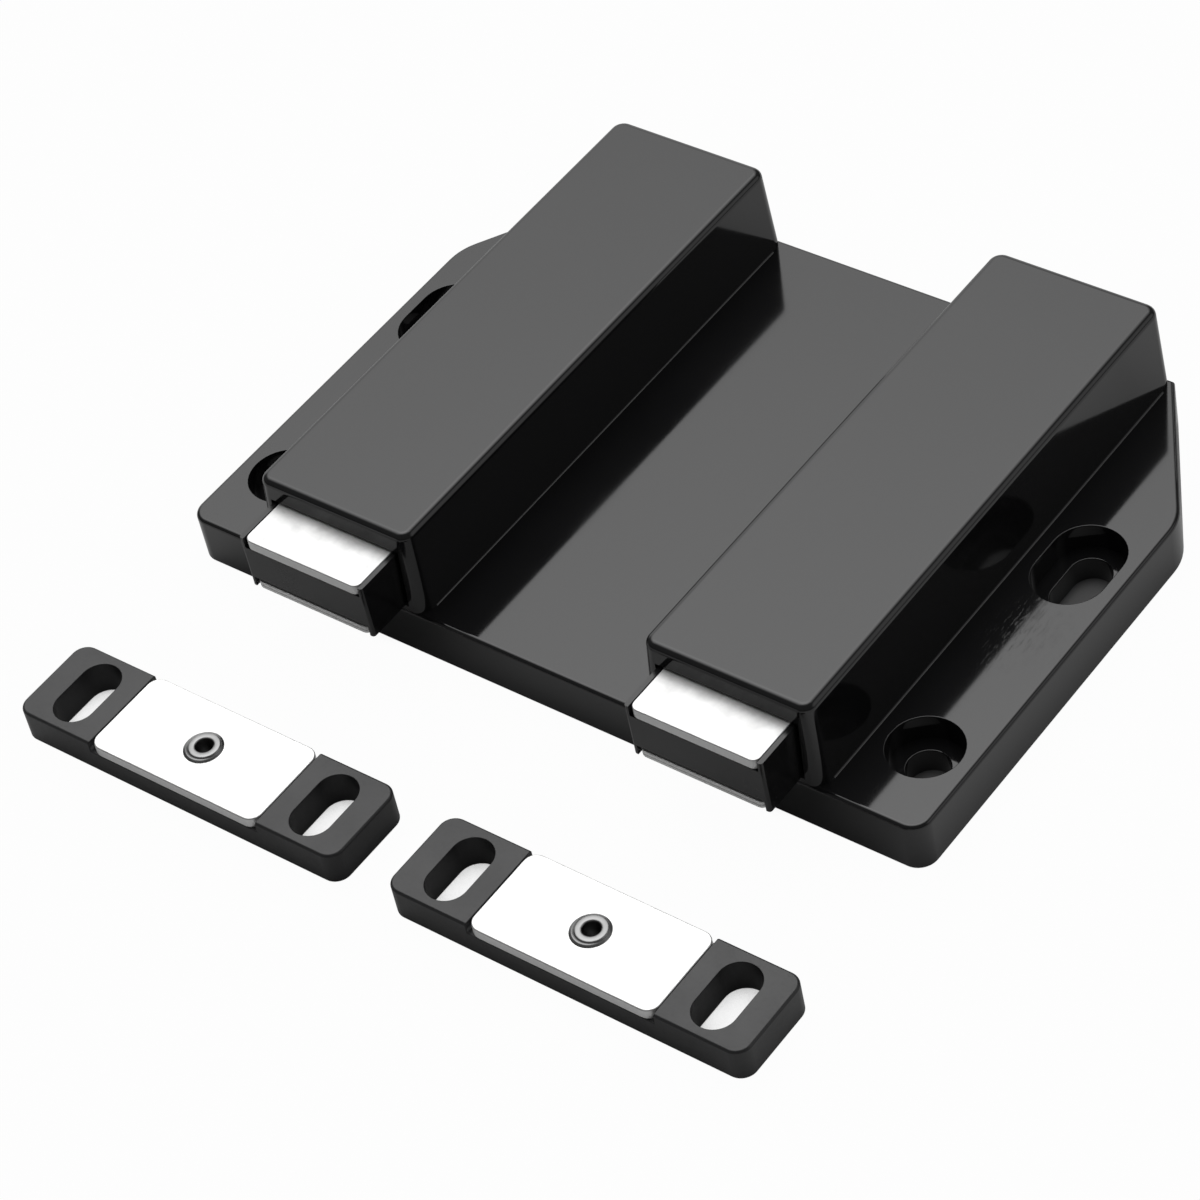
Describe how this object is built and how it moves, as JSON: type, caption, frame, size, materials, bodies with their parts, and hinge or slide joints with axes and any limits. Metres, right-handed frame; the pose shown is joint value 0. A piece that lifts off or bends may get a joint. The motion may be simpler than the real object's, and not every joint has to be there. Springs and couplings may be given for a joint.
{
  "type": "magnetic catch",
  "caption": "Magnetic touch catch for a pair of doors: moulded housing with sprung magnetic plungers and separate steel-faced strike plates.",
  "frame": {"origin": "middle of the housing's footprint, on the face that is screwed down", "axes": "+X along the housing's width, to the right seen from the doors; +Y into the cabinet, the way the plungers are pushed; +Z away from the screwed face"},
  "size_m": [0.087, 0.0874, 0.015],
  "materials": {
    "housing_black": "black ABS moulding, polished",
    "cover_black": "black ABS moulding, fine matt",
    "carrier_black": "black acetal moulding, semi-gloss",
    "strike_black": "black ABS moulding, semi-gloss",
    "pole_steel": "bright zinc-plated mild steel",
    "strike_steel": "bright zinc-plated mild steel",
    "rivet_steel": "nickel-plated steel",
    "zinc_steel": "zinc-plated steel",
    "spring_steel": "bright drawn spring steel",
    "ferrite": "dark grey sintered ferrite"
  },
  "bodies": {
    "root": {"housing": "housing_black", "left_cover": "cover_black", "left_cover_screw_a": "zinc_steel", "left_cover_screw_b": "zinc_steel", "left_return_spring": "spring_steel", "left_leaf_spring": "spring_steel", "left_strike_base": "strike_black", "left_strike_steel": "strike_steel", "left_strike_rivet": "rivet_steel", "right_cover": "cover_black", "right_cover_screw_a": "zinc_steel", "right_cover_screw_b": "zinc_steel", "right_return_spring": "spring_steel", "right_leaf_spring": "spring_steel", "right_strike_base": "strike_black", "right_strike_steel": "strike_steel", "right_strike_rivet": "rivet_steel"},
    "left_plunger": {"left_carrier": "carrier_black", "left_magnet": "ferrite", "left_upper_pole": "pole_steel", "left_lower_pole": "pole_steel"},
    "left_follower": {"left_cam_follower": "spring_steel"},
    "right_plunger": {"right_carrier": "carrier_black", "right_magnet": "ferrite", "right_upper_pole": "pole_steel", "right_lower_pole": "pole_steel"},
    "right_follower": {"right_cam_follower": "spring_steel"}
  },
  "joints": [
    {"name": "left_plunger_slide", "type": "slide", "parent": "root", "child": "left_plunger", "axis": [0, 1, 0], "range_m": [0, 0.0042], "stiffness_N_per_m": 600, "springref_m": -0.008, "deforming": ["left_return_spring"]},
    {"name": "left_follower_swing", "type": "hinge", "parent": "root", "child": "left_follower", "pos_m": [-0.0231, 0.0115, 0.0049], "axis": [0, 0, 1], "range_deg": [0, 10.5]},
    {"name": "right_plunger_slide", "type": "slide", "parent": "root", "child": "right_plunger", "axis": [0, 1, 0], "range_m": [0, 0.0042], "stiffness_N_per_m": 600, "springref_m": -0.008, "deforming": ["right_return_spring"]},
    {"name": "right_follower_swing", "type": "hinge", "parent": "root", "child": "right_follower", "pos_m": [0.0231, 0.0115, 0.0049], "axis": [0, 0, 1], "range_deg": [0, 10.5]}
  ],
  "couplings": [
    {"joint": "left_follower_swing", "follows": "left_plunger_slide", "rad_per_m": 41.417},
    {"joint": "right_follower_swing", "follows": "right_plunger_slide", "rad_per_m": 41.417}
  ]
}
